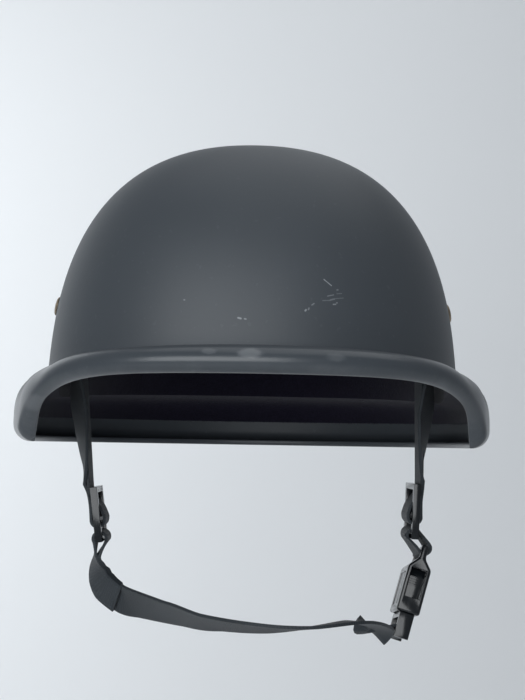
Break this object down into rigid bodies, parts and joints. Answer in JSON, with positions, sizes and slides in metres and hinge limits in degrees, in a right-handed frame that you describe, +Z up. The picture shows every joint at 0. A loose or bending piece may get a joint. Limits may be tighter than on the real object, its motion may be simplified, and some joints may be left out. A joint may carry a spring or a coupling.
{
  "type": "military helmet",
  "caption": "Matt black military helmet with a hooded brim, dark cloth lining, riveted webbing straps with two sliders and a chin strap closed by a side-release buckle.",
  "frame": {"origin": "the head seat: the point under the middle of the lining's crown, where the helmet sits on a head", "axes": "+Z up through the crown, the visor faces -Y, +X towards the side of the buckle, which is on the wearer's left"},
  "size_m": [0.2416, 0.293, 0.2555],
  "materials": {
    "paint": "matt black paint",
    "lining_cloth": "brushed dark cloth over foam",
    "rivet_metal": "dulled",
    "webbing": "woven",
    "plastic": "moulded"
  },
  "bodies": {
    "root": {"shell": "paint", "lining": "lining_cloth", "left_front_rivet": "rivet_metal", "left_rear_rivet": "rivet_metal", "right_front_rivet": "rivet_metal", "right_rear_rivet": "rivet_metal", "left_side_strap": "webbing", "right_side_strap": "webbing", "left_slider": "plastic", "right_slider": "plastic", "chin_strap": "webbing", "buckle_loop": "webbing", "buckle_body": "plastic", "buckle_clip": "plastic"}
  },
  "joints": []
}
